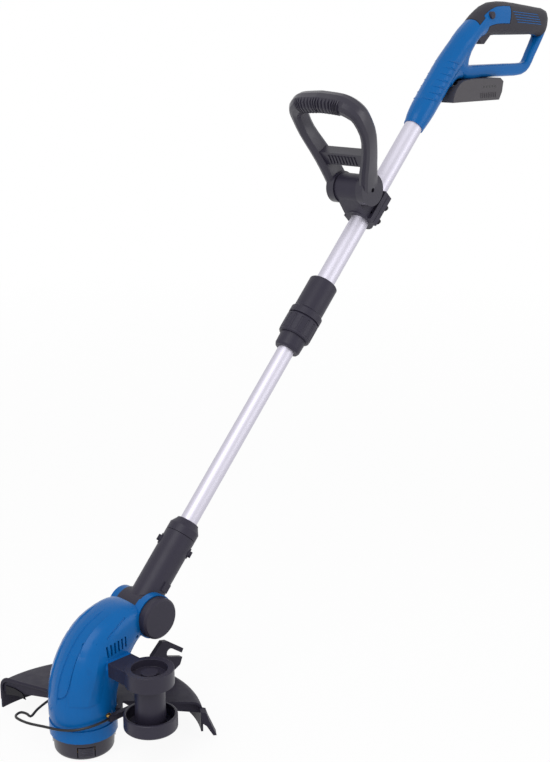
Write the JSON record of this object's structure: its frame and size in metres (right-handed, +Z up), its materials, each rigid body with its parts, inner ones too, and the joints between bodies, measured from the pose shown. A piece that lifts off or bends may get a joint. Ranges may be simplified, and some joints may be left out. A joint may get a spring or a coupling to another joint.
{
  "type": "cordless telescopic line trimmer",
  "caption": "Telescopic cordless line trimmer with tilting motor head, wire plant guard, debris guard, edge wheel, D front handle and loop rear handle with slide-on battery.",
  "frame": {"origin": "on the spool axis, at the middle of the cap's flat underside", "axes": "+Z up along the spool axis, +X towards the user in the plane of the shaft, +Y to the user's right seen from the user, away from the edge wheel"},
  "size_m": [0.9562, 0.2539, 0.8515],
  "materials": {
    "handle_shell_left": "smooth moulded plastic",
    "handle_shell_right": "smooth moulded plastic",
    "soft_grip": "soft moulded grip",
    "upper_tube": "satin drawn tube",
    "trigger": "fine-grained moulded plastic",
    "trigger_pin": "plain steel",
    "trigger_spring": "plain steel",
    "lock_off_button": "fine-grained moulded plastic",
    "micro_switch": "fine-grained moulded plastic",
    "handle_screws": "plain steel",
    "battery_rail": "fine-grained moulded plastic",
    "battery_contacts": "yellow-plated metal",
    "battery_lower_case": "fine-grained moulded plastic",
    "battery_upper_case": "fine-grained moulded plastic",
    "battery_cells": "plain steel",
    "battery_latch": "fine-grained moulded plastic",
    "charge_indicator": "smooth moulded plastic",
    "clamp_upper": "fine-grained moulded plastic",
    "clamp_lower": "fine-grained moulded plastic",
    "clamp_screws": "plain steel",
    "handle_pivot_bolt": "plain steel",
    "front_handle": "fine-grained moulded plastic",
    "collar_sleeve": "fine-grained moulded plastic",
    "twist_nut": "fine-grained moulded plastic",
    "collet": "fine-grained moulded plastic",
    "lower_tube": "satin drawn tube",
    "swivel_ferrule": "fine-grained moulded plastic",
    "swivel_socket": "fine-grained moulded plastic",
    "swivel_button_upper": "fine-grained moulded plastic",
    "swivel_button_lower": "fine-grained moulded plastic",
    "tilt_pin": "plain steel",
    "tilt_button": "fine-grained moulded plastic",
    "housing_left": "smooth moulded plastic",
    "housing_right": "smooth moulded plastic",
    "housing_screws": "plain steel",
    "motor_plate": "fine-grained moulded plastic",
    "motor_can": "plain steel",
    "motor_shaft": "plain steel",
    "spool_holder": "fine-grained moulded plastic",
    "spool": "fine-grained moulded plastic",
    "line_winding": "smooth moulded plastic",
    "spool_spring": "plain steel",
    "spool_cap": "fine-grained moulded plastic",
    "line_eyelets": "plain steel",
    "guard": "fine-grained moulded plastic",
    "guard_screws": "yellow-plated metal",
    "line_cutter": "plain steel",
    "plant_guard": "black-coated wire",
    "wheel_bracket": "fine-grained moulded plastic",
    "wheel_axle": "fine-grained moulded plastic",
    "edge_wheel": "fine-grained moulded plastic"
  },
  "bodies": {
    "handle": {"handle_shell_left": "handle_shell_left", "handle_shell_right": "handle_shell_right", "soft_grip": "soft_grip", "upper_tube": "upper_tube", "trigger_pin": "trigger_pin", "trigger_spring": "trigger_spring", "micro_switch": "micro_switch", "handle_screws": "handle_screws", "battery_rail": "battery_rail", "battery_contacts": "battery_contacts", "clamp_upper": "clamp_upper", "clamp_lower": "clamp_lower", "clamp_screws": "clamp_screws", "handle_pivot_bolt": "handle_pivot_bolt", "collar_sleeve": "collar_sleeve", "collet": "collet"},
    "trigger": {"trigger": "trigger"},
    "lock_off": {"lock_off_button": "lock_off_button"},
    "battery": {"battery_lower_case": "battery_lower_case", "battery_upper_case": "battery_upper_case", "battery_cells": "battery_cells", "charge_indicator": "charge_indicator"},
    "battery_latch": {"battery_latch": "battery_latch"},
    "twist_nut": {"twist_nut": "twist_nut"},
    "front_handle": {"front_handle": "front_handle"},
    "lower_shaft": {"lower_tube": "lower_tube", "swivel_ferrule": "swivel_ferrule"},
    "socket": {"swivel_socket": "swivel_socket"},
    "swivel_button_upper": {"swivel_button_upper": "swivel_button_upper"},
    "swivel_button_lower": {"swivel_button_lower": "swivel_button_lower"},
    "head": {"housing_left": "housing_left", "housing_right": "housing_right", "housing_screws": "housing_screws", "motor_plate": "motor_plate", "motor_can": "motor_can", "tilt_pin": "tilt_pin", "guard": "guard", "guard_screws": "guard_screws", "line_cutter": "line_cutter", "wheel_bracket": "wheel_bracket", "wheel_axle": "wheel_axle"},
    "tilt_button": {"tilt_button": "tilt_button"},
    "line_head": {"motor_shaft": "motor_shaft", "spool_holder": "spool_holder", "spool": "spool", "line_winding": "line_winding", "spool_spring": "spool_spring", "spool_cap": "spool_cap", "line_eyelets": "line_eyelets"},
    "edge_wheel": {"edge_wheel": "edge_wheel"},
    "plant_guard": {"plant_guard": "plant_guard"}
  },
  "joints": [
    {"name": "trigger_pull", "type": "hinge", "parent": "handle", "child": "trigger", "pos_m": [0.7572, 0, 0.81127], "axis": [0, 1, 0], "range_deg": [0, 12], "stiffness_Nm_per_rad": 0.4},
    {"name": "lock_off_press", "type": "slide", "parent": "handle", "child": "lock_off", "axis": [0, 1, 0], "range_m": [0, 0.004], "stiffness_N_per_m": 600},
    {"name": "battery_slide", "type": "slide", "parent": "handle", "child": "battery", "axis": [1, 0, 0], "range_m": [0, 0.075]},
    {"name": "battery_latch_press", "type": "slide", "parent": "battery", "child": "battery_latch", "axis": [-1, 0, 0], "range_m": [0, 0.0025], "stiffness_N_per_m": 600},
    {"name": "nut_twist", "type": "hinge", "parent": "handle", "child": "twist_nut", "pos_m": [0.35739, 0, 0.43489], "axis": [0.682, 0, 0.7314], "range_deg": [0, 90]},
    {"name": "front_handle_tilt", "type": "hinge", "parent": "handle", "child": "front_handle", "pos_m": [0.47224, 0, 0.61465], "axis": [0, 1, 0], "range_deg": [-25, 40]},
    {"name": "telescope", "type": "slide", "parent": "handle", "child": "lower_shaft", "axis": [0.682, 0, 0.7314], "range_m": [0, 0.19]},
    {"name": "head_swivel", "type": "hinge", "parent": "lower_shaft", "child": "socket", "pos_m": [0.15756, 0, 0.2206], "axis": [0.682, 0, 0.7314], "range_deg": [0, 90]},
    {"name": "swivel_button_upper_press", "type": "slide", "parent": "socket", "child": "swivel_button_upper", "axis": [0.5171, -0.7071, -0.4822], "range_m": [0, 0.002], "stiffness_N_per_m": 600},
    {"name": "swivel_button_lower_press", "type": "slide", "parent": "socket", "child": "swivel_button_lower", "axis": [-0.5171, 0.7071, 0.4822], "range_m": [0, 0.002], "stiffness_N_per_m": 600},
    {"name": "head_tilt", "type": "hinge", "parent": "socket", "child": "head", "pos_m": [0.088, 0, 0.146], "axis": [0, 1, 0], "range_deg": [-45, 15]},
    {"name": "tilt_button_press", "type": "slide", "parent": "head", "child": "tilt_button", "axis": [0, 1, 0], "range_m": [0, 0.004], "stiffness_N_per_m": 600},
    {"name": "line_head_spin", "type": "hinge", "parent": "head", "child": "line_head", "pos_m": [0, 0, 0.02], "axis": [0, 0, 1], "continuous": true},
    {"name": "edge_wheel_spin", "type": "hinge", "parent": "head", "child": "edge_wheel", "pos_m": [0.034, -0.0815, 0.07], "axis": [0, 0, 1], "continuous": true},
    {"name": "plant_guard_slide", "type": "slide", "parent": "head", "child": "plant_guard", "axis": [-1, 0, 0], "range_m": [0, 0.045]}
  ]
}
